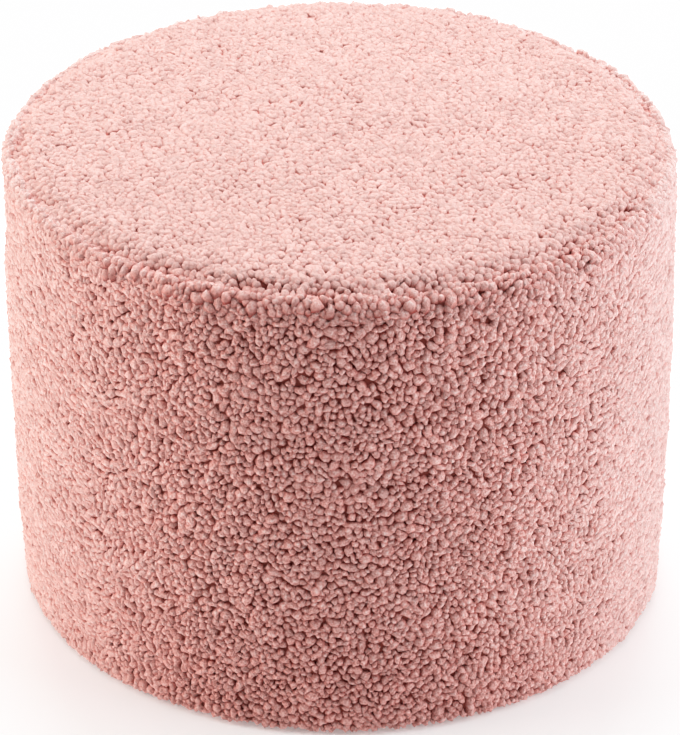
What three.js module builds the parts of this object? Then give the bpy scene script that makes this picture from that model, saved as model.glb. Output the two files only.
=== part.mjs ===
import * as THREE from "three";
import { ImprovedNoise } from "three/addons/math/ImprovedNoise.js";
import { mergeVertices } from "three/addons/utils/BufferGeometryUtils.js";

// A round plush pouf standing on its base. Lengths are millimetres, +Z is up, and the origin is the middle of
// the underside. A crowned top panel and a flat base panel are sewn to a band drawn round the filled body.
// The outer faces lie at the tips of the curly pile, so they carry its soft clumps and its uneven rim.

// The whole pouf
const diameter = 399;
const height = 300;
const segments = 96;
const seamGap = 0.3;

// The band: nearly straight sides that swell a little, a round upper rim and a tight lower roll
const sideSwell = 2.8;
const sideSteps = 13;
const rimStart = 276;
const rimHeight = 288.3;
const rimCrestInset = 5;
const rollRadius = 5;
const rollClearance = 0.4;

// The top panel, sewn in at the bottom of the groove that the rim and the crown make between them
const topSeamRadius = 189.7;
const topSeamHeight = 281;
const shoulderRadius = 175;
const shoulderHeight = 293.2;
const pileCloth = 11;
const seamEdge = 3;

// The base panel, flat on the floor
const baseSeamRadius = 188;
const baseCloth = 4;
const baseEdge = 1.5;

// Unevenness: the plan is a little out of round, the pile gathers in clumps, and the band closes at the back
const outOfRound = [
  { lobes: 2, swell: 1.8, turn: -1.2 },
  { lobes: 3, swell: 0.9, turn: -0.65 },
  { lobes: 4, swell: 1.0, turn: -0.21 },
];
const clumps = [
  { size: 38, swell: 1.5 },
  { size: 19, swell: 0.8 },
];
const closingSeam = { angle: Math.PI / 2, depth: 1.5, reach: 9 };

const noise = new ImprovedNoise();
const at = (radius, z) => new THREE.Vector2(radius, z);

// The band's outer radius at a height, widest half way up.
function sideRadius(z) {
  const middle = height / 2;
  return diameter / 2 - sideSwell * ((z - middle) / middle) ** 2;
}

// A place on an outline. Loft says how much of the pile's unevenness it takes.
function corner(radius, z, loft = 0) {
  return { radius, z, loft };
}

// The places along one curve of an outline, without its first.
function stretch(curve, steps, firstLoft = 0, lastLoft = 0) {
  const points = curve.getPoints(steps).slice(1);
  return points.map((point, i) => {
    const loft = THREE.MathUtils.lerp(firstLoft, lastLoft, (i + 1) / steps);
    return corner(point.x, point.y, loft);
  });
}

// A quarter of an ellipse round a centre, between two of the angles 0, 90, 180 and -90 degrees.
function quarter(centre, wide, tall, fromDegrees, toDegrees) {
  const from = THREE.MathUtils.degToRad(fromDegrees);
  const to = THREE.MathUtils.degToRad(toDegrees);
  return new THREE.EllipseCurve(centre.x, centre.y, wide, tall, from, to);
}

// How far the pile stands out at a place: clumps everywhere, and the crease of the band's closing seam.
function pileSwell(x, y, z, onBand) {
  let swell = 0;
  for (const clump of clumps) {
    swell += clump.swell * noise.noise(x / clump.size, y / clump.size, z / clump.size);
  }
  if (onBand) {
    const away = (Math.atan2(y, x) - closingSeam.angle) * Math.hypot(x, y);
    swell -= closingSeam.depth * Math.exp(-((away / closingSeam.reach) ** 2));
  }
  return swell;
}

// How much wider or narrower than round the plan is at an angle.
function planStretch(angle) {
  let extra = 0;
  for (const lobe of outOfRound) {
    extra += lobe.swell * Math.cos(lobe.lobes * (angle - lobe.turn));
  }
  return 1 + extra / (diameter / 2);
}

// A closed body turned from an outline that runs from the axis below to the axis above, then made uneven.
function turnedBody(outline, onBand = false) {
  const geometry = new THREE.LatheGeometry(outline.map((place) => at(place.radius, place.z)), segments);
  geometry.rotateX(Math.PI / 2);
  const position = geometry.attributes.position;
  for (let i = 0; i < position.count; i += 1) {
    const row = i % outline.length;
    const { radius, z, loft } = outline[row];
    const before = outline[Math.max(row - 1, 0)];
    const after = outline[Math.min(row + 1, outline.length - 1)];
    const outward = at(after.z - before.z, before.radius - after.radius).normalize();
    const angle = Math.atan2(position.getY(i), position.getX(i));
    const swell = loft * pileSwell(position.getX(i), position.getY(i), position.getZ(i), onBand);
    const reach = (radius + swell * outward.x) * planStretch(angle);
    position.setXYZ(i, reach * Math.cos(angle), reach * Math.sin(angle), z + swell * outward.y);
  }
  geometry.deleteAttribute("normal");
  geometry.deleteAttribute("uv");
  const body = mergeVertices(geometry);
  body.computeVertexNormals();
  return body;
}

// The face between the crown's cloth and the filled body, from the sewn edge to the axis, at a drop below it.
function crownUnderside(drop) {
  const edge = at(topSeamRadius - seamEdge, topSeamHeight - drop);
  const bend = at(shoulderRadius, shoulderHeight - pileCloth - drop);
  const middle = at(0, height - pileCloth - drop);
  const flat = at(shoulderRadius / 2, middle.y);
  return [
    corner(edge.x, edge.y),
    ...stretch(new THREE.LineCurve(edge, bend), 1),
    ...stretch(new THREE.QuadraticBezierCurve(bend, flat, middle), 5),
  ];
}

// The round top panel: thick with pile, and thin where the seam grips its edge.
function topPanel() {
  const rollCentre = at(shoulderRadius, topSeamHeight);
  const roll = quarter(rollCentre, topSeamRadius - shoulderRadius, shoulderHeight - topSeamHeight, 0, 90);
  const crown = new THREE.QuadraticBezierCurve(
    at(shoulderRadius, shoulderHeight),
    at(shoulderRadius / 2, height),
    at(0, height),
  );
  return turnedBody([
    ...crownUnderside(0).reverse(),
    corner(topSeamRadius, topSeamHeight),
    ...stretch(roll, 6, 0, 1),
    ...stretch(crown, 11, 1, 0.6),
  ]);
}

// The band and the body it is drawn round: lower roll, swelling side, upper rim, groove and filled crown.
function sideBand() {
  const innerFoot = at(baseSeamRadius + seamGap, baseCloth + seamGap);
  const rollCentre = at(sideRadius(0) - rollRadius, rollRadius + rollClearance);
  const groove = at(topSeamRadius + seamGap, topSeamHeight - seamGap);
  const crestRadius = sideRadius(rimHeight) - rimCrestInset;
  const rimWidth = sideRadius(rimStart) - crestRadius;
  const lowerRoll = quarter(rollCentre, rollRadius, rollRadius, -90, 0);
  const outerRim = quarter(at(crestRadius, rimStart), rimWidth, rimHeight - rimStart, 0, 90);
  const innerRim = quarter(at(crestRadius, groove.y), crestRadius - groove.x, rimHeight - groove.y, 90, 180);
  const side = [];
  for (let step = 1; step <= sideSteps; step += 1) {
    const z = THREE.MathUtils.lerp(rollCentre.y, rimStart, step / sideSteps);
    side.push(corner(sideRadius(z), z, 1));
  }
  return turnedBody([
    corner(0, innerFoot.y),
    corner(innerFoot.x / 2, innerFoot.y),
    corner(innerFoot.x, innerFoot.y),
    corner(innerFoot.x, baseEdge),
    corner(rollCentre.x, rollClearance),
    ...stretch(lowerRoll, 3, 0, 1),
    ...side,
    ...stretch(outerRim, 5, 1, 1.2),
    ...stretch(innerRim, 4, 1.2, 0),
    ...crownUnderside(seamGap),
  ], true);
}

// The base panel: a flat disc with a softened lower edge, under the filled body and inside the roll.
function basePanel() {
  return turnedBody([
    corner(0, 0),
    corner(baseSeamRadius / 2, 0),
    corner(baseSeamRadius - baseEdge, 0),
    corner(baseSeamRadius, baseEdge),
    corner(baseSeamRadius, baseCloth),
    corner(baseSeamRadius / 2, baseCloth),
    corner(0, baseCloth),
  ]);
}

// A named piece in its own cloth.
function sewnPiece(name, geometry, color, roughness) {
  const material = new THREE.MeshStandardMaterial({ color, roughness, metalness: 0 });
  const piece = new THREE.Mesh(geometry, material);
  piece.name = name;
  return piece;
}

const pouf = new THREE.Group();
pouf.name = "plush_pouf";
pouf.add(
  sewnPiece("top_panel", topPanel(), 0xf1beb8, 0.95),
  sewnPiece("side_band", sideBand(), 0xdca49d, 0.95),
  sewnPiece("base_panel", basePanel(), 0xc9968f, 0.9),
);

// The uneven plan is centred on the origin by its outer box.
const middle = new THREE.Box3().setFromObject(pouf).getCenter(new THREE.Vector3());
pouf.position.set(-middle.x, -middle.y, 0);

export default pouf;
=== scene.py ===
import math

import bpy
import numpy as np
from mathutils import Matrix, Vector
from mathutils.bvhtree import BVHTree
from mathutils.kdtree import KDTree


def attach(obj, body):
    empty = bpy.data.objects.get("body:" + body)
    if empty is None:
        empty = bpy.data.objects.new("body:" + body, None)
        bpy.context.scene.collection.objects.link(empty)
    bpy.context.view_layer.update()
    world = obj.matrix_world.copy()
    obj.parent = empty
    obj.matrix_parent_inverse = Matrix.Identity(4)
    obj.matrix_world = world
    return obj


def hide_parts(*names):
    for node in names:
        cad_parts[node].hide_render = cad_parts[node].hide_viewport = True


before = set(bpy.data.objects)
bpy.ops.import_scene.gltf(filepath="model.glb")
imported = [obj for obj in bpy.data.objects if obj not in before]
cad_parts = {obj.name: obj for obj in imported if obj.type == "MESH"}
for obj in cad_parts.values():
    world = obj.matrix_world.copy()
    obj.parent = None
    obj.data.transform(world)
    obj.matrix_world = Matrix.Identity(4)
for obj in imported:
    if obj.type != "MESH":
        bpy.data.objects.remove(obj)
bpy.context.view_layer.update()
mm = 0.001

# Lengths are metres unless a note says otherwise, and angles run from 0 on the right over 90 at the back
# The photograph's view: a long lens from the front, about 29 degrees above the floor
viewOfPouf = {
    "aim": (0, 0, 0.15),
    "distance": 2.32,
    "elevation": 29.28,
    "extraTilt": 0.37,  # looks this much below the aim
    "roll": -0.21,
    "lens": 188.5,
    "sensor": 36,
    "clip": (0.05, 60),
}


def makeCamera(look):
    data = bpy.data.cameras.new("camera")
    data.lens, data.sensor_width = look["lens"], look["sensor"]
    data.clip_start, data.clip_end = look["clip"]
    camera = bpy.data.objects.new("camera", data)
    bpy.context.scene.collection.objects.link(camera)
    rise = math.radians(look["elevation"])
    place = Vector(look["aim"]) + look["distance"] * Vector((0, -math.cos(rise), math.sin(rise)))
    tilt = Matrix.Rotation(math.radians(90 - look["elevation"] - look["extraTilt"]), 4, "X")
    roll = Matrix.Rotation(math.radians(look["roll"]), 4, "Z")
    camera.matrix_world = Matrix.Translation(place) @ tilt @ roll
    bpy.context.scene.camera = camera


makeCamera(viewOfPouf)
print("camera placed")


# Shader maths: a wrapped socket can be added, subtracted and multiplied like a number
class Value:
    def __init__(self, finish, socket):
        self.finish, self.socket = finish, socket

    def math(self, operation, first, second):
        return self.finish.node("Math", {"operation": operation}, {0: first, 1: second})

    def __add__(self, other):
        return self.math("ADD", self, other)

    def __sub__(self, other):
        return self.math("SUBTRACT", self, other)

    def __rsub__(self, other):
        return self.math("SUBTRACT", other, self)

    def __mul__(self, other):
        return self.math("MULTIPLY", self, other)

    __radd__, __rmul__ = __add__, __mul__


class Finish:
    def __init__(self, name):
        self.material = bpy.data.materials.new(name)
        self.material.use_nodes = True
        self.tree = self.material.node_tree
        self.tree.nodes.clear()
        self.end = self.tree.nodes.new("ShaderNodeOutputMaterial")

    def node(self, kind, settings=None, sockets=None, output=0):
        # Any node by its type, then its settings, then the values and links of its sockets
        made = self.tree.nodes.new("ShaderNode" + kind)
        for key, value in (settings or {}).items():
            if key == "stops":
                self.setStops(made.color_ramp.elements, value)
            else:
                setattr(made, key, value)
        for key, value in (sockets or {}).items():
            if isinstance(value, Value):
                self.tree.links.new(value.socket, made.inputs[key])
            elif value is not None:
                made.inputs[key].default_value = value
        return Value(self, made.outputs[output])

    def setStops(self, ramp, stops):
        while len(ramp) < len(stops):
            ramp.new(1)
        for stop, (place, shown) in zip(ramp, stops):
            stop.position, stop.color = place, shown

    def mark(self, name, output="Fac"):
        return self.node("Attribute", {"attribute_name": name}, output=output)

    def places(self):
        return self.node("TexCoord", output="Object")

    def noise(self, size, detail=2.0, rough=0.5):
        wanted = {"Vector": self.places(), "Scale": 1 / size, "Detail": detail, "Roughness": rough}
        return self.node("TexNoise", None, wanted)

    def fit(self, value, low, high, newLow=0.0, newHigh=1.0):
        wanted = {"Value": value, 1: low, 2: high, 3: newLow, 4: newHigh}
        return self.node("MapRange", None, wanted)

    def mixed(self, factor, first, second, blend="MIX"):
        made = {"data_type": "RGBA", "blend_type": blend}
        return self.node("Mix", made, {0: factor, 6: first, 7: second}, 2)  # the node's colour sockets

    def relief(self, height, distance, under=None):
        wanted = {"Height": height, "Distance": distance, "Strength": 1.0, "Normal": under}
        return self.node("Bump", None, wanted)

    def finishWith(self, sockets):
        shader = self.node("BsdfPrincipled", None, sockets)
        self.tree.links.new(shader.socket, self.end.inputs["Surface"])
        return self.material


def colour(red, green, blue):
    return (red, green, blue, 1)


# Curly pile: pale rose at the tips of the curls, with painted shade that turns deeper and redder down towards
# the roots
pileLook = {
    "paintedGlint": colour(0.99, 0.71, 0.67),
    "tip": colour(0.93, 0.545, 0.505),
    "middle": colour(0.76, 0.33, 0.29),
    "root": colour(0.35, 0.052, 0.040),
    "stops": (0, 0.45, 0.86, 1),  # where the painted root shade, the middle, the tip and the painted glint lie between the first and the last
    "rootReach": (0.61, 0.98),  # over which the painted root shade turns to the painted glint, from 0.5 at a curl's foot to 1 at its top
    "toneSpread": 0.10,
    "patchSize": 0.045,
    "patchSpread": 0.05,
    "curlSize": 0.0016,  # the loops of yarn that a curl is wound from
    "curlDepth": 0.0016,
    # curlShade: how much painted shade the darker loops get, while the lightest loops get the painted glint
    "curlShade": 0.62,
    "curlRough": 0.6,
    "curlRange": (0.36, 0.62),  # part of the noise that is spread over all tones
    "fibreSize": 0.0007,
    "fibreDepth": 0.00010,
    "fibreRange": (0.3, 0.7),
    "roughness": (0.85, 0.97),
    "specular": 0.3,
    "sheen": 0.05,
    "sheenRough": 0.5,
    "sheenTint": colour(1.0, 0.86, 0.83),
    "softness": 0.12,  # how far the loose fibres even out the light on a curl
}


# The crown's pile is matted flat, so it is paler: its painted crevice shade is lighter and hardly reaches up
# the curls
crownLook = {
    **pileLook,
    "paintedGlint": colour(0.93, 0.58, 0.54),
    "tip": colour(0.89, 0.53, 0.487),
    "root": colour(0.55, 0.15, 0.12),
    "rootReach": (0.40, 0.84),
    "curlShade": 0.35,
    "softness": 0.45,
}


def makePileFinish(look, name):
    finish = Finish(name)
    depth, tone, calm = (finish.mark(label) for label in ("pileDepth", "curlTone", "curlCalm"))
    curl = finish.noise(look["curlSize"], rough=look["curlRough"])
    patch = finish.noise(look["patchSize"])
    fibre = finish.noise(look["fibreSize"], detail=1.0)
    # Painted shade by depth, painted shade and glints on the loops of yarn, and a little lighter or darker by
    # curl and by area
    shade = (finish.fit(curl, *look["curlRange"]) - 1) * (look["curlShade"] - calm * look["curlShade"])
    loft = finish.fit(depth, *look["rootReach"]) * (1 + shade)
    tones = (look["root"], look["middle"], look["tip"], look["paintedGlint"])
    body = finish.node("ValToRGB", {"stops": list(zip(look["stops"], tones))}, {0: loft})
    shade = 1 + (tone - 0.5) * (2 * look["toneSpread"]) + (patch - 0.5) * (2 * look["patchSpread"])
    grey = finish.node("CombineColor", None, {0: shade, 1: shade, 2: shade})
    body = finish.mixed(1.0, body, grey, "MULTIPLY")
    # Relief of loops and fibres, evened out towards the way the curls stand
    rough = finish.relief(curl, look["curlDepth"])
    rough = finish.relief(fibre, look["fibreDepth"], rough)
    turned = {"vector_type": "NORMAL", "convert_from": "OBJECT", "convert_to": "WORLD"}
    stand = finish.node("VectorTransform", turned, {"Vector": finish.mark("standing", "Vector")})
    soft = finish.node("Mix", {"data_type": "VECTOR"}, {0: look["softness"], 4: rough, 5: stand}, 1)
    soft = finish.node("VectorMath", {"operation": "NORMALIZE"}, {0: soft})
    return finish.finishWith({
        "Base Color": body,
        "Roughness": finish.fit(fibre, *look["fibreRange"], *look["roughness"]),
        "Specular IOR Level": look["specular"],
        "Sheen Weight": look["sheen"],
        "Sheen Roughness": look["sheenRough"],
        "Sheen Tint": look["sheenTint"],
        "Normal": soft,
    })


# Ground of the pile fabric: the knitted cloth that shows only at the bottom of the crevices, coloured dark
# red as painted shade
groundLook = {
    "dark": colour(0.19, 0.035, 0.027),
    "light": colour(0.27, 0.058, 0.045),
    "loopSize": 0.0012,
    "loopDepth": 0.0003,
    "loopRange": (0.3, 0.7),
    "roughness": (0.85, 0.97),
    "specular": 0.15,
}


# Under the crown's matted pile its painted shade is as light as the painted roots there, and deepens towards
# the seam
crownGroundLook = {
    **groundLook,
    "matted": colour(0.58, 0.18, 0.15),
    "seamFrom": (0.176, 0.185),  # distances from the axis
}


def makeGroundFinish(look, name):
    finish = Finish(name)
    loops = finish.noise(look["loopSize"], detail=1.0)
    body = finish.mixed(loops, look["dark"], look["light"])
    # On the crown, painted shade that deepens from the middle to the seam
    if "matted" in look:
        flat = finish.node("VectorMath", {"operation": "MULTIPLY"}, {0: finish.places(), 1: (1, 1, 0)})
        away = finish.node("VectorMath", {"operation": "LENGTH"}, {0: flat}, 1)
        body = finish.mixed(finish.fit(away, *look["seamFrom"]), look["matted"], body)
    return finish.finishWith({
        "Base Color": body,
        "Roughness": finish.fit(loops, *look["loopRange"], *look["roughness"]),
        "Specular IOR Level": look["specular"],
        "Normal": finish.relief(loops, look["loopDepth"]),
    })


# Woven base cloth: plain weave with a slub here and there
weaveLook = {
    "light": colour(0.60, 0.335, 0.30),
    "dark": colour(0.44, 0.22, 0.195),
    "thread": 0.0009,
    "depth": 0.00025,
    "slubSize": 0.004,
    "slubShare": 0.4,
    "roughness": (0.92, 0.82),
    "specular": 0.25,
    "sheen": 0.15,
}


def makeWeaveFinish(look, name):
    finish = Finish(name)
    waves = []
    for axis in (0, 1):
        run = finish.node("SeparateXYZ", None, {0: finish.places()}, axis) * (math.pi / look["thread"])
        waves.append(finish.node("Math", {"operation": "SINE"}, {0: run}))
    threads = finish.fit(waves[0] * waves[1], -1, 1)
    slub = finish.noise(look["slubSize"])
    uneven = threads * (1 - look["slubShare"]) + slub * look["slubShare"]
    return finish.finishWith({
        "Base Color": finish.mixed(uneven, look["dark"], look["light"]),
        "Roughness": finish.fit(threads, 0, 1, *look["roughness"]),
        "Specular IOR Level": look["specular"],
        "Sheen Weight": look["sheen"],
        "Normal": finish.relief(threads, look["depth"]),
    })


bandFinish = makePileFinish(pileLook, "brushed_pile")
crownFinish = makePileFinish(crownLook, "matted_pile")
groundFinish = makeGroundFinish(groundLook, "pile_ground")
crownGroundFinish = makeGroundFinish(crownGroundLook, "matted_ground")
weaveFinish = makeWeaveFinish(weaveLook, "base_weave")
print("finishes made")


# Outlines in radius and height, millimetres, as the three panels are cut and drawn round the filling
outline = {
    "sideRadius": 199.5,
    "sideSwell": 2.8,
    "sideSteps": 90,
    "middle": 150,
    "rollRadius": 5,
    "floorGap": 0.4,
    "rimStart": 276,
    "rimHeight": 288.3,
    "crestInset": 5,
    "grooveRadius": 189.85,
    "grooveHeight": 281,
    "shoulderRadius": 175,
    "shoulderHeight": 293.2,
    "crownHeight": 300,
    "crownSteps": 80,
}


def sideRadius(z):
    return outline["sideRadius"] - outline["sideSwell"] * ((z - outline["middle"]) / outline["middle"]) ** 2


def quarter(centre, wide, tall, fromTurn, toTurn, steps=24):
    turn = np.radians(np.linspace(fromTurn, toTurn, steps + 1))
    return np.stack([centre[0] + wide * np.cos(turn), centre[1] + tall * np.sin(turn)], 1)


def bandPath(o):
    rollCentre = (sideRadius(0) - o["rollRadius"], o["rollRadius"] + o["floorGap"])
    roll = quarter(rollCentre, o["rollRadius"], o["rollRadius"], -90, 0)
    heights = np.linspace(rollCentre[1], o["rimStart"], o["sideSteps"])[1:-1]
    side = np.stack([sideRadius(heights), heights], 1)
    crest = sideRadius(o["rimHeight"]) - o["crestInset"]
    outerWide, outerTall = sideRadius(o["rimStart"]) - crest, o["rimHeight"] - o["rimStart"]
    outer = quarter((crest, o["rimStart"]), outerWide, outerTall, 0, 90)
    innerWide, innerTall = crest - o["grooveRadius"], o["rimHeight"] - o["grooveHeight"]
    inner = quarter((crest, o["grooveHeight"]), innerWide, innerTall, 90, 180)
    return np.concatenate([roll, side, outer, inner[1:]]) * mm


def crownPath(o):
    rollWide, rollTall = o["grooveRadius"] - o["shoulderRadius"], o["shoulderHeight"] - o["grooveHeight"]
    roll = quarter((o["shoulderRadius"], o["grooveHeight"]), rollWide, rollTall, 0, 90)
    t = np.linspace(0, 1, o["crownSteps"])[1:]
    radius = o["shoulderRadius"] * (1 - t)
    bulge = o["crownHeight"] - o["shoulderHeight"]
    crown = np.stack([radius, o["shoulderHeight"] + bulge * (1 - (1 - t) ** 2)], 1)
    return np.concatenate([roll, crown]) * mm


class Path:
    # An outline that can be read at any length along it: radius, height and the outward direction
    def __init__(self, points):
        steps = np.linalg.norm(np.diff(points, axis=0), axis=1)
        self.run = np.concatenate([[0], np.cumsum(steps)])
        self.length = self.run[-1]
        self.points = points
        ahead = np.gradient(points, self.run, axis=0)
        outward = np.stack([ahead[:, 1], -ahead[:, 0]], 1)
        self.outward = outward / np.linalg.norm(outward, axis=1, keepdims=True)

    def at(self, run):
        place = [np.interp(run, self.run, column) for column in self.points.T]
        outward = np.stack([np.interp(run, self.run, column) for column in self.outward.T], 1)
        return np.stack(place, 1), outward / np.linalg.norm(outward, axis=1, keepdims=True)


def turned(angle, across, up):
    return np.stack([across * np.cos(angle), across * np.sin(angle), up], 1)


def skinOf(node):
    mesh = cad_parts[node].data
    return BVHTree.FromPolygons([v.co for v in mesh.vertices], [p.vertices for p in mesh.polygons])


def laidOnSkin(skin, angle, place, outward, reach=0.012):
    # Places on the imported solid's own face, met along the outline's outward direction
    spots, normals = turned(angle, *place.T), turned(angle, *outward.T)
    for i in range(len(spots)):
        start = Vector(spots[i] + normals[i] * reach)
        hit = skin.ray_cast(start, Vector(-normals[i]), 2 * reach)[0]
        if hit is not None:
            spots[i] = hit
    return spots, normals


bandLine, crownLine = Path(bandPath(outline)), Path(crownPath(outline))
bandSkin, crownSkin = skinOf("side_band"), skinOf("top_panel")


def addPiece(name, mesh, finish, node):
    mesh.materials.append(finish)
    piece = bpy.data.objects.new(name, mesh)
    bpy.context.scene.collection.objects.link(piece)
    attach(piece, "root")
    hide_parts(node)
    return piece


def closedTurn(rows):
    # Faces for rings of points between a first and a last row that are single points on the axis
    around = rows[1].shape[0]
    points = np.concatenate([rows[0][:1]] + rows[1:-1] + [rows[-1][:1]])
    top, last = len(rows) - 2, len(points) - 1

    def corner(row, k):
        return 1 + (row - 1) * around + k % around

    faces = [(0, corner(1, k + 1), corner(1, k)) for k in range(around)]
    for row in range(1, top):
        for k in range(around):
            faces.append((corner(row, k), corner(row, k + 1), corner(row + 1, k + 1), corner(row + 1, k)))
    faces += [(corner(top, k), corner(top, k + 1), last) for k in range(around)]
    return points, faces


def addCloth(name, rows, finish, node):
    points, faces = closedTurn(rows)
    mesh = bpy.data.meshes.new(name)
    mesh.from_pydata([tuple(point) for point in points], [], faces)
    mesh.polygons.foreach_set("use_smooth", np.ones(len(faces), bool))
    return addPiece(name, mesh, finish, node)


def evenAngles(shape):
    return np.linspace(0, 2 * math.pi, shape["around"], endpoint=False)


def flatRing(angles, radius, height):
    return turned(angles, np.full(len(angles), radius), np.full(len(angles), height))


def planStretch(angles, waves=6):
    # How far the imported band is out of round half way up, without its clumps
    place, outward = bandLine.at(np.full(len(angles), bandLine.length / 2))
    spots, _ = laidOnSkin(bandSkin, angles, place, outward)
    stretch = np.fft.rfft(np.linalg.norm(spots[:, :2], axis=1) / place[:, 0])
    stretch[waves:] = 0
    return np.fft.irfft(stretch, len(angles))


# The filled body in the band's ground cloth, a pile's height inside the tips. Rings are radius and height,
# and runs are lengths along the outline: first, last and count
bandCloth = {
    "around": 112,
    "inset": 0.0036,
    "rollInset": 0.0012,  # at the start of the lower roll
    "under": ((0, 0.0048), (0.09, 0.0048), (0.184, 0.0050)),
    "rollRuns": (0.001, 0.0078, 4),
    "sideRuns": (0.012, 0.272, 40),
    # the rim's in millimetres
    "rim": ((192.9, 277.0), (192.6, 280.2), (191.9, 282.4), (191.1, 282.6), (190.4, 281.0), (190.2, 279.2)),
    "top": ((0.1855, 0.2785), (0.173, 0.2815), (0.12, 0.2862), (0.06, 0.2880), (0, 0.2888)),
}


def makeBandCloth(shape):
    angles = evenAngles(shape)
    stretch = planStretch(angles)
    rows = [flatRing(angles, *ring) for ring in shape["under"]]
    for run in np.concatenate([np.linspace(*shape["rollRuns"]), np.linspace(*shape["sideRuns"])]):
        place, outward = bandLine.at(np.full(len(angles), run))
        spots, normals = laidOnSkin(bandSkin, angles, place, outward)
        rows.append(spots - normals * min(shape["inset"], shape["rollInset"] + run))
    for radius, height in shape["rim"]:
        rows.append(turned(angles, radius * mm * stretch, np.full(len(angles), height * mm)))
    rows += [flatRing(angles, *ring) for ring in shape["top"]]
    piece = addCloth("band_ground_cloth", rows, groundFinish, "side_band")


# The same under the crown's pile, as a padded round
crownCloth = {
    "around": 112,
    "inset": 0.0026,
    "edgeInset": 0.0046,  # near the seam, where the curls are taller
    "edgeEnd": (0.016, 0.036),  # runs between which it gives way to the other
    "under": ((0, 0.2895), (0.06, 0.2888), (0.12, 0.2871), (0.172, 0.2832), (0.1845, 0.2803)),
    "edgeRuns": (0.001, 0.030, 8),
    "crownRuns": (0.038, 0.012, 20),  # here the second is the distance left to the axis
    "middle": 0.0005,  # its height is read this far from the axis
}


def makeCrownCloth(shape):
    angles = evenAngles(shape)
    rows = [flatRing(angles, *ring) for ring in shape["under"]]
    start, left, count = shape["crownRuns"]
    crownRuns = np.linspace(start, crownLine.length - left, count)
    for run in np.concatenate([np.linspace(*shape["edgeRuns"]), crownRuns]):
        place, outward = crownLine.at(np.full(len(angles), run))
        spots, normals = laidOnSkin(crownSkin, angles, place, outward)
        inset = np.interp(run, shape["edgeEnd"], (shape["edgeInset"], shape["inset"]))
        rows.append(spots - normals * inset)
    place, outward = crownLine.at(np.array([crownLine.length - shape["middle"]]))
    spots, _ = laidOnSkin(crownSkin, np.zeros(1), place, outward)
    rows.append(flatRing(angles, 0, spots[0][2] - shape["inset"]))
    piece = addCloth("crown_ground_cloth", rows, crownGroundFinish, "top_panel")


makeBandCloth(bandCloth)
makeCrownCloth(crownCloth)
print("ground cloths made")


# The pile: thousands of separate curls, each a small closed bead that stands on the ground cloth.
# Their places lie in an area, either a strip closed on itself or a square round the origin
placing = {
    "rowStep": 0.866,  # over the step between columns
    "shake": (0.35, 0.3),  # across and up, as shares of these steps
    "leastGap": 1e-5,
    "groupBorder": 3,  # how narrow the crevices between groups are
}


def scattered(area, pitch, rng):
    # A shaken lattice of places, whose curls are then eased apart by their own sizes
    wide, tall = area["wide"], area["tall"]
    rows, columns = round(tall / (pitch * placing["rowStep"])), round(wide / pitch)
    across, up = np.meshgrid(np.arange(columns), np.arange(rows))
    shaken = [rng.uniform(-shake, shake, across.shape) for shake in placing["shake"]]
    across = (across + 0.5 * (up % 2) + shaken[0]) * (wide / columns)
    up = ((up + 0.5 + shaken[1]) * (tall / rows)).clip(0, tall)
    if area["closed"]:
        return np.stack([(across % wide).ravel(), up.ravel()], 1)
    return np.stack([across.ravel(), up.ravel()], 1) - (wide / 2, tall / 2)


def treeOf(spots, count):
    # For looking up the nearest spots, which may repeat a count of places
    tree = KDTree(len(spots))
    for i, spot in enumerate(spots):
        tree.insert(spot, i % count)
    tree.balance()
    return tree


def nearest(places, count, area):
    # The nearest other places of each one
    if area["closed"]:
        turn = places[:, 0] * (2 * math.pi / area["wide"])
        wide = area["wide"] / (2 * math.pi)
        spots = np.stack([wide * np.cos(turn), wide * np.sin(turn), places[:, 1]], 1)
    else:
        spots = np.concatenate([places, np.zeros((len(places), 1))], 1)
    tree = treeOf(spots, len(spots))
    return np.array([[found[1] for found in tree.find_n(spot, count + 1)][1:] for spot in spots])


def offsets(places, others, area):
    step = places[:, None] - places[others]
    if area["closed"]:
        step[..., 0] -= area["wide"] * np.round(step[..., 0] / area["wide"])
    return step


def flatTree(places, area):
    # A closed strip repeats its places beyond both of its ends
    turns = (-1, 0, 1) if area["closed"] else (0,)
    spots = [(x + turn * area["wide"], y, 0) for turn in turns for x, y in places]
    return treeOf(spots, len(places))


easing = {
    "rounds": 5,
    "pushes": 3,  # in each round
    "crowd": 8,  # neighbours that push
    "spacing": 1.12,  # over the sum of two radii
    "push": 0.15,
    "beside": 6,  # neighbours that a curl's room is measured from
    "growth": (0.85, 1.3),
    "growthPower": 0.8,
}


def easedApart(places, sizes, area):
    # Crowded curls push each other away by their sizes, and then grow or shrink to cover the cloth evenly
    for _ in range(easing["rounds"]):
        others = nearest(places, easing["crowd"], area)
        wanted = easing["spacing"] * (sizes[:, None] + sizes[others])
        for _ in range(easing["pushes"]):
            step = offsets(places, others, area)
            gap = np.linalg.norm(step, axis=2).clip(placing["leastGap"])
            push = ((wanted - gap) / gap).clip(0)
            places = places + easing["push"] * (step * push[..., None]).sum(1)
            if area["closed"]:
                places[:, 1] = places[:, 1].clip(0, area["tall"])
                places[:, 0] %= area["wide"]
    others = nearest(places, easing["beside"], area)
    room = np.linalg.norm(offsets(places, others, area), axis=2).mean(1)
    fullness = room / (sizes + sizes[others].mean(1))
    return places, sizes * (fullness / np.median(fullness)).clip(*easing["growth"]) ** easing["growthPower"]


# Small curls wherever the cloth would show, with lengths as shares of a usual curl
hole = {
    "trial": 0.3,  # step of the lattice on which holes are looked for
    "least": 0.15,  # room beyond the nearest curl's edge
    "apart": 0.8,
    "extra": 0.16,  # how far the new curl reaches under the others
    "largest": 0.6,
}


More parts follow.
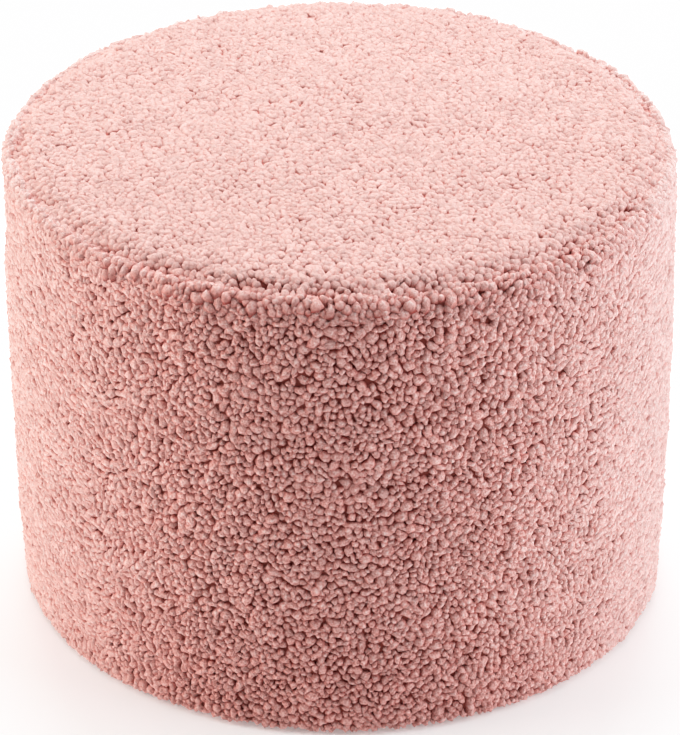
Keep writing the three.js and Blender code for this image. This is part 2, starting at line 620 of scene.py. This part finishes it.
def holesFilled(places, radii, area, rng):
    pitch = 2 * np.median(radii)
    trials = scattered(area, hole["trial"] * pitch, rng)
    tree = flatTree(places, area)
    room = np.array([min(f[2] - radii[f[1]] for f in tree.find_n((x, y, 0), 3)) for x, y in trials])
    apart = (hole["apart"] * pitch) ** 2
    added, sizes = [], []
    for i in np.argsort(-room):
        if room[i] < hole["least"] * pitch:
            break
        if all((trials[i][0] - x) ** 2 + (trials[i][1] - y) ** 2 > apart for x, y in added):
            added.append(trials[i])
            sizes.append(min(room[i] + hole["extra"] * pitch, hole["largest"] * pitch))
    if not added:
        return places, radii
    return np.concatenate([places, np.array(added)]), np.concatenate([radii, sizes])


def gathered(places, pile, area, rng):
    # Pulls curls towards the middle of their group, and says how near each is to its group's border
    tree = flatTree(scattered(area, pile["groups"], rng), area)
    pulled, border = places.copy(), np.zeros(len(places))
    for i, (across, up) in enumerate(places):
        found = tree.find_n((across, up, 0), 4)
        first = found[0]
        second = next((f for f in found[1:] if f[1] != first[1]), found[-1])
        border[i] = first[2] / max(second[2], placing["leastGap"])
        pulled[i] += pile["groupPull"] * (np.array(first[0][:2]) - places[i])
    return pulled, border ** placing["groupBorder"]


def unevenSizes(count, pile, rng, limits=(0.6, 1.6)):
    return np.exp(rng.normal(0, pile["spread"], count)).clip(*limits)


def settled(places, sizes, growth, pile, area, rng):
    # The curls' places, radii and group borders, with fewer and fuller curls where growth is over 1
    kept = rng.uniform(0, 1, len(places)) < growth**-2
    places, radii = easedApart(places[kept], (sizes * growth)[kept] * pile["pitch"] / 2, area)
    places, radii = holesFilled(places, radii, area, rng)
    places, border = gathered(places, pile, area, rng)
    return places, radii, border


def softWaves(places, size, rng, count=7, paces=(0.5, 1.1), swing=1.6):
    # A smooth uneven field between about -1 and 1
    field = 0
    for _ in range(count):
        turn, phase = rng.uniform(0, 2 * math.pi, 2)
        pace = 2 * math.pi / size * rng.uniform(*paces)
        field = field + np.cos(pace * (places[:, 0] * math.cos(turn) + places[:, 1] * math.sin(turn)) + phase)
    return field * (swing / count)


def napOf(places, pile, rng, swing=5):
    # The way that neighbouring curls lean, which drifts over the cloth by a swing in radians
    turn = swing * softWaves(places, pile["napSize"], rng)
    return np.stack([np.cos(turn), np.sin(turn)], 1)


# A curl's rings are height and width, for a top at height 1 and a foot at height 0
roundCurl = {"sides": 7, "rings": ((-0.20, 0.95), (0.35, 0.95), (0.80, 0.62))}
matCurl = {"sides": 6, "rings": ((-0.20, 0.96), (0.35, 0.96), (0.80, 0.66))}
smallCurl = {"sides": 5, "rings": ((-0.20, 0.97), (0.70, 0.82))}
# What all curls share
curlShape = {
    "longest": 0.75,  # limit to the logarithm of length over width
    "lengthShare": 0.6,  # share of it by which the length grows, and the width shrinks by the rest
    "tallPower": 0.4,  # how much taller the larger curls are
    "leanMost": 0.5,
    "leanDrop": 0.4,
    "bendMiddle": 0.4,
}
# A curl's tile of the baked materials: its foot in a low strip, its rings stacked above
bakeTile = {
    "foot": (0.5, 0.07, 0.48, 0.06),  # its middle and its reach
    "rings": (0.16, 0.14, 0.84),  # where the first starts, the same less a gap, and the height of all
    "inside": (0.06, 0.88),  # margin and what is left
}


def beadTemplate(sides, rings):
    # One curl with its top at height 1, and a flat place for each corner of its faces
    turn = 2 * math.pi * np.arange(sides) / sides
    points = [(wide * math.cos(t), wide * math.sin(t), height) for height, wide in rings for t in turn]
    points.append((0, 0, 1))
    faces = [tuple(range(sides))[::-1]]
    middle, rise, wide, tall = bakeTile["foot"]
    marks = [(middle + wide * math.cos(t), rise + tall * math.sin(t)) for t in turn[::-1]]
    lowEdge, highEdge, stack = bakeTile["rings"]
    for r in range(len(rings)):
        low, high = lowEdge + stack * r / len(rings), highEdge + stack * (r + 1) / len(rings)
        for k in range(sides):
            start, after = r * sides + k, r * sides + (k + 1) % sides
            left, right = k / sides, (k + 1) / sides
            if r + 1 < len(rings):
                faces.append((start, after, after + sides, start + sides))
                marks += [(left, low), (right, low), (right, high), (left, high)]
            else:
                faces.append((start, after, len(points) - 1))
                marks += [(left, low), (right, low), ((left + right) / 2, high)]
    return np.array(points), faces, np.array(marks)


def curlAxes(curls, pile, rng):
    # Each curl's foot, and the reach and direction of its longer side, its shorter side and its height
    stand, sideways, nap, sizes = (curls[key] for key in ("stand", "sideways", "nap", "sizes"))
    count, share, leanMost = len(sizes), curlShape["lengthShare"], curlShape["leanMost"]
    drawnOut = np.abs(rng.normal(0, pile["longer"], count)) * curls["longer"]
    long = np.exp(drawnOut.clip(0, curlShape["longest"]))
    wide = pile["pitch"] / 2 * pile["overlap"] * sizes * curls["wider"]
    tall = pile["tall"] * np.exp(rng.normal(0, pile["tallSpread"], count))
    tall = tall * sizes ** curlShape["tallPower"] * curls["taller"]
    lean = pile["nap"] * nap + rng.normal(0, pile["lean"], (count, 2))
    lean = lean.clip(-leanMost, leanMost) / sizes[:, None]
    drop = curls["drop"] + curlShape["leanDrop"] * wide * np.linalg.norm(lean, axis=1)
    third = np.cross(stand, sideways)
    upward = stand + lean[:, :1] * sideways + lean[:, 1:] * third
    upward /= np.linalg.norm(upward, axis=1, keepdims=True)
    turn = np.arctan2(nap[:, 1], nap[:, 0]) + rng.normal(0, pile["astray"], count) * curls["astray"]
    first = np.cos(turn)[:, None] * sideways + np.sin(turn)[:, None] * third
    first -= (first * upward).sum(1, keepdims=True) * upward
    first /= np.linalg.norm(first, axis=1, keepdims=True)
    foot = curls["spots"] - upward * (tall + drop)[:, None]
    second = np.cross(upward, first)
    return foot[:, None], ((wide * long**share, first), (wide / long ** (1 - share), second), (tall, upward))


def unevenCurls(template, count, pile, rng):
    # Plan shapes: two and three lobes, a bend along the longer axis, and a lump or dent at each corner
    local = np.repeat(template[None], count, 0)
    around = np.arctan2(template[:, 1], template[:, 0])[None]
    two, three = rng.normal(0, pile["lobes"], (2, count, 1))
    turns = rng.uniform(0, 2 * math.pi, (2, count, 1))
    plan = 1 + two * np.cos(2 * around + turns[0]) + three * np.cos(3 * around + turns[1])
    local[..., :2] *= plan[..., None]
    local *= 1 + rng.normal(0, pile["lumps"], (count, len(template), 1))
    bend = rng.normal(0, pile["bend"], (count, 1))
    local[..., 1] += bend * (local[..., 0] ** 2 - curlShape["bendMiddle"])
    return local


def beadMesh(name, points, faces):
    # One mesh of many beads with the same faces
    count, size = points.shape[:2]
    corners = np.concatenate([np.array(face) for face in faces])
    starts = np.concatenate([[0], np.cumsum([len(face) for face in faces])[:-1]])
    shift = np.arange(count)[:, None]
    mesh = bpy.data.meshes.new(name)
    mesh.vertices.add(count * size)
    mesh.vertices.foreach_set("co", points.astype(np.float32).ravel())
    mesh.loops.add(count * len(corners))
    mesh.loops.foreach_set("vertex_index", (corners[None] + shift * size).astype(np.int32).ravel())
    mesh.polygons.add(count * len(faces))
    mesh.polygons.foreach_set("loop_start", (starts[None] + shift * len(corners)).astype(np.int32).ravel())
    mesh.polygons.foreach_set("use_smooth", np.ones(count * len(faces), bool))
    mesh.update(calc_edges=True)
    return mesh


def addMarks(mesh, template, curls, rng):
    # Painted crevice shade by height on a curl: pale curls get less of it, those below 0 more, and dim ones
    # get painted shade up to their tips
    count, size = len(curls["spots"]), len(template)
    depth = 1 - (1 - template[None, :, 2]) / 2 * (1 - curls["pale"][:, None])
    depth = depth * (1 - curls["dim"][:, None])
    tone = np.repeat(rng.uniform(0, 1, count), size)
    # curlCalm lessens the painted shade on the loops
    calm = np.repeat(curls["calm"], size)
    for label, values in (("pileDepth", depth.ravel()), ("curlTone", tone), ("curlCalm", calm)):
        layer = mesh.attributes.new(label, "FLOAT", "POINT")
        layer.data.foreach_set("value", values.astype(np.float32))
    layer = mesh.attributes.new("standing", "FLOAT_VECTOR", "POINT")
    layer.data.foreach_set("vector", np.repeat(curls["stand"], size, 0).astype(np.float32).ravel())


def addTiles(mesh, count, marks):
    side, (margin, inside) = math.ceil(math.sqrt(count)), bakeTile["inside"]
    tile = np.stack([np.arange(count) % side, np.arange(count) // side], 1)
    uv = (tile[:, None] + margin + inside * marks[None]) / side
    mesh.uv_layers.new(name="OFBake").uv.foreach_set("vector", uv.astype(np.float32).ravel())


def makePile(name, curls, curl, pile, finish, rng):
    # Beads on the given places, all in one mesh. Each has its own size, turn, lean and lumps
    count = len(curls["spots"])
    template, faces, marks = beadTemplate(curl["sides"], curl["rings"])
    points, axes = curlAxes(curls, pile, rng)
    local = unevenCurls(template, count, pile, rng)
    for axis, (reach, direction) in enumerate(axes):
        points = points + local[..., axis : axis + 1] * reach[:, None, None] * direction[:, None]
    points[..., 2] = points[..., 2].clip(pile["lowest"])
    mesh = beadMesh(name, points, faces)
    addMarks(mesh, template, curls, rng)
    addTiles(mesh, count, marks)
    addPiece(name, mesh, finish, pile["node"])
    print(f"{name}: {count} curls")


def partOf(curls, chosen):
    return {key: values[chosen] for key, values in curls.items()}


def alongRound(angle):
    return turned(angle + math.pi / 2, np.ones(len(angle)), np.zeros(len(angle)))


# The curls on both sides of the seam rise and hide it, but for the places where they part
seamShape = {
    "fill": 0.0066,
    "crownReach": 0.013,
    "rimReach": 0.007,
    "steepness": 1.5,
    "uneven": 0.25,
    "dim": 0.30,  # how much painted shade the parted curls get
    "sink": 0.15,  # how far the parted curls go down into the groove, as a share of that rise
    "waves": (9, 17, 31, 47, 71),
    # angle and reach in degrees
    "parted": (
        (203, 1.6), (226, 3.0), (240, 5.5), (254, 3.0), (268, 4.0), (283, 2.4), (299, 2.4), (312, 2.6),
        (328, 2.4), (12, 2.0), (47, 3.5), (84, 2.2), (121, 4.0), (160, 2.4), (181, 1.6),
    ),
    "seed": 5,
}


def partedShare(angle, shape):
    # 1 in the middle of the places where the curls beside the seam part, and 0 away from them
    turn = np.degrees(angle)
    away = [np.abs((turn - place + 180) % 360 - 180) / reach for place, reach in shape["parted"]]
    return np.exp(-(np.min(away, axis=0) ** 2))


def seamFill(angle, near, shape):
    # How far the curls beside the seam rise out of its groove, by how near they stand to it
    rng = np.random.default_rng(shape["seed"])
    field = sum(np.cos(wave * angle + rng.uniform(0, 2 * math.pi)) for wave in shape["waves"])
    share = 1 - shape["uneven"] * (0.5 + field / len(shape["waves"])).clip(0, 1)
    share -= (share + shape["sink"]) * partedShare(angle, shape)
    return shape["fill"] * share * near.clip(0, 1) ** shape["steepness"]


# Pairs are the values at the two ends of the range above them
bandPile = {
    "node": "side_band",
    "pitch": 0.0035,
    "sideFrom": (0.45, 0.92),  # cosines of the angle, from the front or back to the sides
    "frontSize": 1.37,  # curls on the front and back against those on the left and right
    "upperFrom": (0.04, 0.26),  # heights
    "upperSize": (0.95, 1.05),  # against the curls half way up
    "spread": 0.30,  # how much curls differ in size
    "overlap": 1.24,  # sideways radius over half the pitch
    "sideOverlap": 0.20,  # more of it on the left and right
    "longer": 0.26,  # how much some curls are drawn out one way
    "lobes": 0.13,
    "lumps": 0.10,
    "bend": 0.20,
    "tall": 0.0032,
    "tallSpread": 0.16,
    "unevenTips": 0.0005,
    "sideEven": 0.35,  # share by which the tips on the left and right are more even
    "lean": 0.14,
    "nap": 0.14,  # lean that neighbours share
    "napSize": 0.07,
    "astray": 0.7,  # radians by which a curl's long side strays from the shared lean
    # how the pile lies on the left and right
    "brushed": {"along": 0.6, "down": 0.8, "longer": 2.2, "lean": 1.6, "steady": 0.6},
    "lowest": 0.0002,
    "rollRun": (0.005, 0.018),  # lengths over which the lower roll ends
    "rollRound": 0.8,  # how much less its curls are drawn out
    "underRun": (0.005, 0.010),  # over which the curls come out from under the pouf
    "underNarrow": 0.3,
    "underPale": 0.75,  # share by which these curls get less painted crevice shade
    "rimFrom": (0.272, 0.2875),  # heights between which the curls turn upright
    "rimBend": 0.8,
    "rimTilt": 72,  # degrees at the crest
    "innerTilt": 84,  # beside the groove
    "rimSize": 0.94,
    "rimTall": 0.35,
    "rimNap": 0.7,  # share by which the upright curls lean less
    "seamTall": 0.6,
    "frontFrom": (0.3, 0.9),  # sines of the angle, from the rest of the rim to its front
    "rimPale": (0.85, 0.22),  # share by which the upright curls get less painted crevice shade
    "rimCalm": (0.65, 0.35),  # share by which they get less painted shade on their loops
    "sidePaleFrom": (0.15, 0.85),  # as sideFrom
    "sidePale": (0.44, 0.64),  # share by which the curls on the left and on the right get less painted crevice shade
    # sideCalm: share by which the curls on the left and right get less painted shade on their loops
    "sideCalm": 0.7,
    "footDim": 0.045,  # how much painted shade the front gets at its foot
    "footEnd": (0.02, 0.09),  # heights over which that ends
    "groups": 0.025,
    "groupPull": 0.02,
    "groupDrop": 0.0011,
    "sectors": {
        "right": {"from": -50, "to": 50, "curl": smallCurl},
        "back": {"from": 50, "to": 130, "curl": matCurl},
        "left": {"from": 130, "to": 230, "curl": smallCurl},
        "front": {"from": 230, "to": 310, "curl": roundCurl},
    },
    "sectorBlend": 6,  # degrees over which neighbouring sectors mingle
    "closing": {"angle": math.pi / 2, "reach": 0.0035, "depth": 0.0011, "dim": 0.12},  # where its ends meet, with painted shade along the join as dim
    "seed": 11,
}


def turnOf(places, strip):
    return places[:, 0] / strip["wide"] * 2 * math.pi


def sideShare(angle, pile):
    # 1 on the left and right, 0 on the front and back
    return np.interp(np.abs(np.cos(angle)), pile["sideFrom"], (0, 1))


def brushedAside(nap, angle, side, brushed):
    # On the left and right the pile lies down and to the front
    side = side[:, None]
    lie = np.stack([-np.sign(np.cos(angle)) * brushed["along"], np.full(len(angle), -brushed["down"])], 1)
    nap = nap * (1 - side) + lie * side
    nap /= np.linalg.norm(nap, axis=1, keepdims=True)
    return nap * (1 + brushed["lean"] * side)


def bandPlaces(pile, strip, rng):
    places = scattered(strip, pile["pitch"], rng)
    sizes = unevenSizes(len(places), pile, rng)
    height = bandLine.at(places[:, 1])[0][:, 1]
    growth = 1 + (pile["rimSize"] - 1) * np.interp(height, pile["rimFrom"], (0, 1))
    growth *= 1 + (pile["frontSize"] - 1) * (1 - sideShare(turnOf(places, strip), pile))
    growth *= np.interp(height, pile["upperFrom"], pile["upperSize"])
    return settled(places, sizes, growth, pile, strip, rng)


# How much less painted crevice shade a band curl gets: on the rim, on the left and right, and where it comes
# out from under the pouf
def bandPaleness(angle, rim, under, pile):
    rimPale = np.interp(-np.sin(angle), pile["frontFrom"], pile["rimPale"])
    sidePale = np.where(np.cos(angle) < 0, *pile["sidePale"])
    sidePale = sidePale * np.interp(np.abs(np.cos(angle)), pile["sidePaleFrom"], (0, 1))
    return np.maximum(sidePale * (1 - rim) + rimPale * rim, under * pile["underPale"])


def makeBandPile(pile):
    rng = np.random.default_rng(pile["seed"])
    strip = {"wide": 2 * math.pi * outline["sideRadius"] * mm, "tall": bandLine.length, "closed": True}
    places, radii, border = bandPlaces(pile, strip, rng)
    angle, run = turnOf(places, strip), places[:, 1]
    side = sideShare(angle, pile)
    place, outward = bandLine.at(run)
    radius, height = place.T
    spots, _ = laidOnSkin(bandSkin, angle, place, outward)
    # Over the rim the curls turn upright, and inside it they stand beside the seam
    over = height > pile["rimFrom"][0]
    rim = over * np.interp(height, pile["rimFrom"], (0, 1)) ** pile["rimBend"]
    tilt = np.radians(np.where(outward[:, 0] < 0, pile["innerTilt"], rim * pile["rimTilt"]))
    outward[over] = np.stack([np.cos(tilt), np.sin(tilt)], 1)[over]
    near = over * (1 + (run - strip["tall"]) / seamShape["rimReach"]).clip(0, 1)
    closing = np.exp(-(((angle - pile["closing"]["angle"]) * radius / pile["closing"]["reach"]) ** 2))
    drop = pile["groupDrop"] * border + np.abs(rng.normal(0, pile["unevenTips"], len(angle)))
    drop *= 1 - pile["sideEven"] * side
    drop += pile["closing"]["depth"] * closing
    drop -= seamFill(angle, near, seamShape)
    nap = napOf(places, pile, rng)
    # Round the tight lower roll the curls are neither brushed nor drawn out
    laid = side * (1 - rim) * np.interp(run, pile["rollRun"], (0, 1))
    rollRound = np.interp(run, pile["rollRun"], (pile["rollRound"], 0))
    under = np.interp(run, pile["underRun"], (1, 0))
    rimCalm = np.interp(-np.sin(angle), pile["frontFrom"], pile["rimCalm"])
    # Painted shade on the curls where they part beside the seam
    parted = seamShape["dim"] * partedShare(angle, seamShape) * near
    # Painted shade on the front at its foot
    foot = pile["footDim"] * np.interp(height, pile["footEnd"], (1, 0))
    nap = brushedAside(nap, angle, laid, pile["brushed"])
    curls = {
        "spots": spots,
        "stand": turned(angle, *outward.T),
        "sideways": alongRound(angle),
        "nap": nap * (1 - pile["rimNap"] * rim)[:, None],
        "sizes": radii / (pile["pitch"] / 2),
        "longer": 1 + pile["brushed"]["longer"] * laid - rollRound,
        "astray": 1 - pile["brushed"]["steady"] * laid,
        "wider": (1 + pile["sideOverlap"] * side) * (1 - pile["underNarrow"] * under),
        "taller": 1 + pile["rimTall"] * rim + pile["seamTall"] * near,
        "calm": pile["sideCalm"] * side * (1 - rim) + rimCalm * rim,
        "drop": drop,
        "pale": bandPaleness(angle, rim, under, pile),
        "dim": parted + pile["closing"]["dim"] * closing + foot * (1 - side),
    }
    blended = np.degrees(angle) + rng.normal(0, pile["sectorBlend"] / 2, len(angle))
    for label, sector in pile["sectors"].items():
        chosen = (blended - sector["from"]) % 360 < sector["to"] - sector["from"]
        makePile(f"band_pile_{label}", partOf(curls, chosen), sector["curl"], pile, bandFinish, rng)


# The crown's rows mean what the band's do
crownPile = {
    "node": "top_panel",
    "pitch": 0.0039,
    "spread": 0.26,
    "overlap": 1.34,
    "longer": 0.26,
    "lobes": 0.10,
    "lumps": 0.065,
    "bend": 0.16,
    "tall": 0.0025,
    "tallSpread": 0.15,
    "unevenTips": 0.0003,
    "lean": 0.16,
    "nap": 0.12,
    "napSize": 0.06,
    "astray": 0.8,
    "curl": matCurl,
    # pale: share by which the crown's curls get less painted crevice shade
    "pale": 0.12,
    "lowest": 0.0,
    "lastGap": 0.001,  # between the outermost curls and the seam
    "edgeReach": (0.026, 0.004),  # from the seam, over which the curls get fuller and more painted shade
    "edgePaintedShade": (0.0, 0.65),  # least and most by which they get painted crevice shade further up the curls
    "edgeDrop": 0.0007,
    "edgeTall": 2.4,
    "edgeSize": 1.12,
    "groups": 0.022,
    "groupPull": 0.01,
    "groupDrop": 0.0004,
    "seed": 23,
}


def edgeShare(places, pile):
    # 1 beside the seam, 0 on the crown
    seam, (start, full) = crownLine.length, pile["edgeReach"]
    return np.interp(np.linalg.norm(places, axis=1), (seam - start, seam - full), (0, 1))


def crownPlaces(pile, rng):
    reach = crownLine.length
    square = {"wide": 2 * reach, "tall": 2 * reach, "closed": False}
    places = scattered(square, pile["pitch"], rng)
    sizes = unevenSizes(len(places), pile, rng)
    growth = 1 + (pile["edgeSize"] - 1) * edgeShare(places, pile)
    places, radii, border = settled(places, sizes, growth, pile, square, rng)
    shown = np.linalg.norm(places, axis=1) < reach - pile["lastGap"]
    return places[shown], radii[shown], border[shown]


def makeCrownPile(pile):
    rng = np.random.default_rng(pile["seed"])
    places, radii, border = crownPlaces(pile, rng)
    away, angle = np.linalg.norm(places, axis=1), np.arctan2(places[:, 1], places[:, 0])
    edge, count = edgeShare(places, pile), len(places)
    place, outward = crownLine.at(crownLine.length - away)
    spots, normals = laidOnSkin(crownSkin, angle, place, outward)
    near = (1 + (away - crownLine.length) / seamShape["crownReach"]).clip(0, 1)
    stand = normals * (1 - near[:, None]) + near[:, None] * (0, 0, 1)
    unevenTips = pile["unevenTips"] + edge * pile["edgeDrop"]
    drop = pile["groupDrop"] * border + np.abs(rng.normal(0, 1, count)) * unevenTips
    nap, even = napOf(places, pile, rng), np.ones(count)
    curls = {
        "spots": spots,
        "stand": stand / np.linalg.norm(stand, axis=1, keepdims=True),
        "sideways": alongRound(angle),
        "nap": nap,
        "sizes": radii / (pile["pitch"] / 2),
        "longer": even,
        "astray": even,
        "wider": even,
        "taller": 1 + (pile["edgeTall"] - 1) * edge,
        "calm": np.zeros(count),
        "drop": drop - seamFill(angle, near, seamShape),
        # Less painted crevice shade over the crown, and more of it towards the seam
        "pale": pile["pale"] * (1 - edge) - edge * rng.uniform(*pile["edgePaintedShade"], count),
        # painted shade where the curls part beside the seam
        "dim": seamShape["dim"] * partedShare(angle, seamShape) * near,
    }
    for side, chosen in (("left", places[:, 0] < 0), ("right", places[:, 0] >= 0)):
        makePile(f"crown_pile_{side}", partOf(curls, chosen), pile["curl"], pile, crownFinish, rng)


makeBandPile(bandPile)
makeCrownPile(crownPile)
print("pile made")

# Base panel: a plain round of woven cloth, flat on the floor and drawn in a little at its seam
baseShape = {
    "around": 192,
    "radius": 0.1885,
    "under": (0, 0.04, 0.08, 0.12, 0.15, 0.165, 0.172, 0.177, 0.181, 0.184, 0.1865, 0.188),
    "top": ((0.1885, 0.0044), (0.1, 0.0044), (0, 0.0044)),
    "liftFrom": 0.172,
    "lift": 0.0022,
    "puckers": 64,
    "puckerDepth": 0.0006,
    "puckerDrift": (2, 3),  # radians by which their spacing drifts, and how often on the way round
}


def makeBaseCloth(shape):
    angles = evenAngles(shape)
    swing, turns = shape["puckerDrift"]
    ripple = 1 + np.cos(shape["puckers"] * angles + swing * np.sin(turns * angles))
    rows = []
    for radius in shape["under"]:
        near = min(1, max(0, (radius - shape["liftFrom"]) / (shape["radius"] - shape["liftFrom"])))
        row = flatRing(angles, radius, shape["lift"] * near**2)
        row[:, 2] += shape["puckerDepth"] * near * ripple
        rows.append(row)
    rows += [flatRing(angles, *ring) for ring in shape["top"]]
    piece = addCloth("base_cloth", rows, weaveFinish, "base_panel")


makeBaseCloth(baseShape)
print("base made")

# Floor, and a soft studio: a large soft box on each side, one behind and one above
warm, cool, white = (1.0, 0.94, 0.89), (0.90, 0.96, 1.0), (1.0, 1.0, 1.0)
studio = {
    "aim": (0, 0, 0.15),
    "world": 0.0,  # strength of an even light from all around
    # Light and how bright it is shown: a soft shoulder, as in a bright studio exposure
    "brightest": 1.6,
    "shoulder": ((0.25, 0.25), (0.5, 0.49), (0.8, 0.735), (1.0, 0.855), (1.2, 0.955), (1.35, 0.995)),
    # turn and rise in degrees seen from the pouf, with turn 0 at the camera and 90 on the right
    "lamps": {
        "left_box": {"turn": -88, "rise": 15, "away": 2.4, "size": (1.6, 1.6), "power": 55, "tint": warm},
        "right_box": {"turn": 82, "rise": 15, "away": 2.4, "size": (2.2, 2.2), "power": 68, "tint": cool},
        "back_box": {"turn": 180, "rise": 45, "away": 2.6, "size": (1.6, 1.0), "power": 46, "tint": white},
        "top_box": {"turn": 0, "rise": 89.9, "away": 2.4, "size": (2.0, 2.0), "power": 42, "tint": white},
    },
}
floorLook = {
    "size": 20.0,
    "dark": colour(0.90, 0.90, 0.90),
    "light": colour(0.93, 0.93, 0.93),
    "patchSize": 0.4,
    "roughness": 0.9,
    "specular": 0.1,
    "glow": colour(1, 1, 1),
    "glowStrength": 0.25,
}


def makeFloor(look):
    finish = Finish("pale_floor")
    material = finish.finishWith({
        "Base Color": finish.mixed(finish.noise(look["patchSize"]), look["dark"], look["light"]),
        "Roughness": look["roughness"],
        "Specular IOR Level": look["specular"],
        "Emission Color": look["glow"],
        "Emission Strength": look["glowStrength"],
    })
    half = look["size"] / 2
    mesh = bpy.data.meshes.new("floor")
    corners = [(half * x, half * y, 0) for x, y in ((-1, -1), (1, -1), (1, 1), (-1, 1))]
    mesh.from_pydata(corners, [], [(0, 1, 2, 3)])
    mesh.materials.append(material)
    floor = bpy.data.objects.new("floor", mesh)
    bpy.context.scene.collection.objects.link(floor)


def addLamp(name, lamp, aim):
    data = bpy.data.lights.new(name, "AREA")
    data.shape, (data.size, data.size_y) = "RECTANGLE", lamp["size"]
    data.energy, data.color = lamp["power"], lamp["tint"]
    light = bpy.data.objects.new(name, data)
    turn, rise = math.radians(lamp["turn"]), math.radians(lamp["rise"])
    towards = Vector((math.sin(turn) * math.cos(rise), -math.cos(turn) * math.cos(rise), math.sin(rise)))
    light.location = Vector(aim) + lamp["away"] * towards
    light.rotation_euler = (-towards).to_track_quat("-Z", "Y").to_euler()
    bpy.context.scene.collection.objects.link(light)


def makeStudio(look):
    for name, lamp in look["lamps"].items():
        addLamp(name, lamp, look["aim"])
    world = bpy.data.worlds.new("studio")
    world.use_nodes = True
    background = world.node_tree.nodes["Background"].inputs
    background["Color"].default_value = colour(1, 1, 1)
    background["Strength"].default_value = look["world"]
    bpy.context.scene.world = world
    view = bpy.context.scene.view_settings
    view.view_transform = "Standard"
    view.use_curve_mapping = True
    shoulder = view.curve_mapping
    shoulder.white_level = (look["brightest"],) * 3
    curve = shoulder.curves[3]  # the one for all colours together
    for light, shown in look["shoulder"]:
        curve.points.new(light / look["brightest"], shown)
    shoulder.update()


makeFloor(floorLook)
makeStudio(studio)
print("studio lit")
